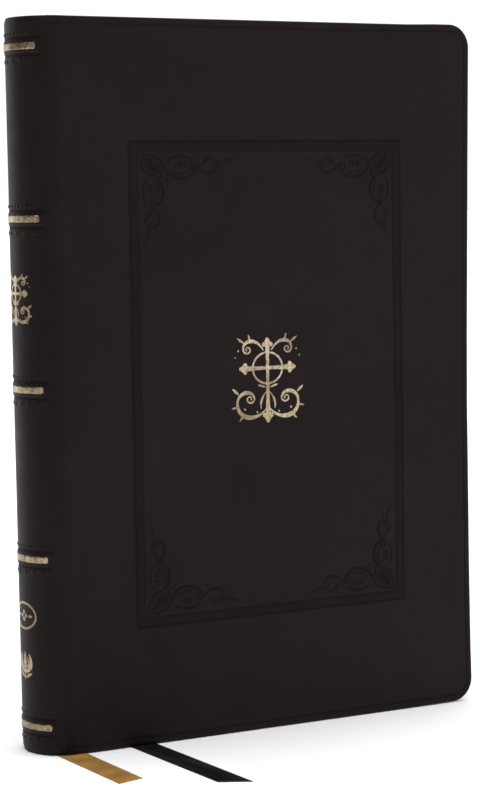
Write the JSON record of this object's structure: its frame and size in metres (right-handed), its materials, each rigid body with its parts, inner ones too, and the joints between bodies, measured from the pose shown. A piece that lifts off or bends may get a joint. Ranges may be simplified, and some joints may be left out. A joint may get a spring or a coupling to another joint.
{
  "type": "bible",
  "caption": "Limp-bound bible in dark leathersoft with a rounded ribbed spine, gold foil lines, opening covers and pages, and ribbon markers.",
  "frame": {"origin": "middle of the book's footprint, on the surface that its tail edge stands on", "axes": "+X from the spine to the fore edge, +Y from the front cover to the back cover, +Z from tail to head"},
  "size_m": [0.168, 0.0895, 0.236],
  "materials": {
    "leather": "dark brown leathersoft, fine grain, satin",
    "gold_foil": "hot-stamped gold foil",
    "page_paper": "thin bible paper, gilt edges",
    "endpaper": "plain dark endpaper",
    "card": "grey card",
    "lining_paper": "kraft",
    "mull_cloth": "open cotton weave",
    "thread": "linen thread",
    "band_cloth": "gold and brown silk stripes",
    "gold_satin": "double-faced satin",
    "black_satin": "double-faced satin"
  },
  "bodies": {
    "root": {"rear_signatures": "page_paper", "rear_sewing_threads": "thread", "rear_mull": "mull_cloth", "rear_spine_lining": "lining_paper", "rear_spine_leather": "leather", "rear_spine_foil": "gold_foil", "rear_head_band": "band_cloth", "rear_tail_band": "band_cloth", "gold_ribbon": "gold_satin", "black_ribbon": "black_satin"},
    "front_half": {"front_signatures": "page_paper", "front_sewing_threads": "thread", "front_mull": "mull_cloth", "front_spine_lining": "lining_paper", "front_spine_leather": "leather", "front_spine_foil": "gold_foil", "front_head_band": "band_cloth", "front_tail_band": "band_cloth"},
    "front_cover": {"front_cover_leather": "leather", "front_cover_card": "card", "front_pastedown": "endpaper", "front_ornament_foil": "gold_foil"},
    "back_cover": {"back_cover_leather": "leather", "back_cover_card": "card", "back_pastedown": "endpaper"},
    "front_flyleaf": {"front_flyleaf": "endpaper"},
    "title_leaf": {"title_leaf": "page_paper"},
    "back_flyleaf": {"back_flyleaf": "endpaper"},
    "middle_leaf_1": {"middle_leaf_1": "page_paper"},
    "middle_leaf_2": {"middle_leaf_2": "page_paper"},
    "middle_leaf_3": {"middle_leaf_3": "page_paper"},
    "middle_leaf_4": {"middle_leaf_4": "page_paper"},
    "gold_ribbon_tail": {"gold_ribbon_tail": "gold_satin"},
    "black_ribbon_tail": {"black_ribbon_tail": "black_satin"}
  },
  "joints": [
    {"name": "book_open", "type": "hinge", "parent": "root", "child": "front_half", "pos_m": [-0.084, 0, 0.118], "axis": [0, 0, 1], "range_deg": [-165, 0]},
    {"name": "front_cover_open", "type": "hinge", "parent": "front_half", "child": "front_cover", "pos_m": [-0.0734, -0.0135, 0.118], "axis": [0, 0, 1], "range_deg": [-170, 0]},
    {"name": "back_cover_open", "type": "hinge", "parent": "root", "child": "back_cover", "pos_m": [-0.0734, 0.0135, 0.118], "axis": [0, 0, 1], "range_deg": [0, 170]},
    {"name": "front_flyleaf_turn", "type": "hinge", "parent": "front_half", "child": "front_flyleaf", "pos_m": [-0.0729, -0.01203, 0.118], "axis": [0, 0, 1], "range_deg": [-102, 0]},
    {"name": "title_leaf_turn", "type": "hinge", "parent": "front_half", "child": "title_leaf", "pos_m": [-0.0729, -0.01188, 0.118], "axis": [0, 0, 1], "range_deg": [-59.5, 0]},
    {"name": "back_flyleaf_turn", "type": "hinge", "parent": "root", "child": "back_flyleaf", "pos_m": [-0.0729, 0.01203, 0.118], "axis": [0, 0, 1], "range_deg": [0, 102]},
    {"name": "middle_leaf_1_turn", "type": "hinge", "parent": "root", "child": "middle_leaf_1", "pos_m": [-0.0806, -0.00005, 0.118], "axis": [0, 0, 1], "range_deg": [-24.75, 0]},
    {"name": "middle_leaf_2_turn", "type": "hinge", "parent": "root", "child": "middle_leaf_2", "pos_m": [-0.08085, -0.00015, 0.118], "axis": [0, 0, 1], "range_deg": [-57.75, 0]},
    {"name": "middle_leaf_3_turn", "type": "hinge", "parent": "root", "child": "middle_leaf_3", "pos_m": [-0.0811, -0.00025, 0.118], "axis": [0, 0, 1], "range_deg": [-107.25, 0]},
    {"name": "middle_leaf_4_turn", "type": "hinge", "parent": "root", "child": "middle_leaf_4", "pos_m": [-0.08135, -0.00035, 0.118], "axis": [0, 0, 1], "range_deg": [-140.25, 0]},
    {"name": "gold_ribbon_swing", "type": "hinge", "parent": "root", "child": "gold_ribbon_tail", "pos_m": [-0.07335, 0.00033, 0.118], "axis": [0, 0, 1], "range_deg": [-15, 15]},
    {"name": "black_ribbon_swing", "type": "hinge", "parent": "root", "child": "black_ribbon_tail", "pos_m": [-0.04804, 0.00013, 0.118], "axis": [0, 0, 1], "range_deg": [-15, 15]}
  ],
  "couplings": [
    {"joint": "front_flyleaf_turn", "follows": "front_cover_open", "ratio": 0.6},
    {"joint": "title_leaf_turn", "follows": "front_cover_open", "ratio": 0.35},
    {"joint": "back_flyleaf_turn", "follows": "back_cover_open", "ratio": 0.6},
    {"joint": "middle_leaf_1_turn", "follows": "book_open", "ratio": 0.15},
    {"joint": "middle_leaf_2_turn", "follows": "book_open", "ratio": 0.35},
    {"joint": "middle_leaf_3_turn", "follows": "book_open", "ratio": 0.65},
    {"joint": "middle_leaf_4_turn", "follows": "book_open", "ratio": 0.85}
  ]
}
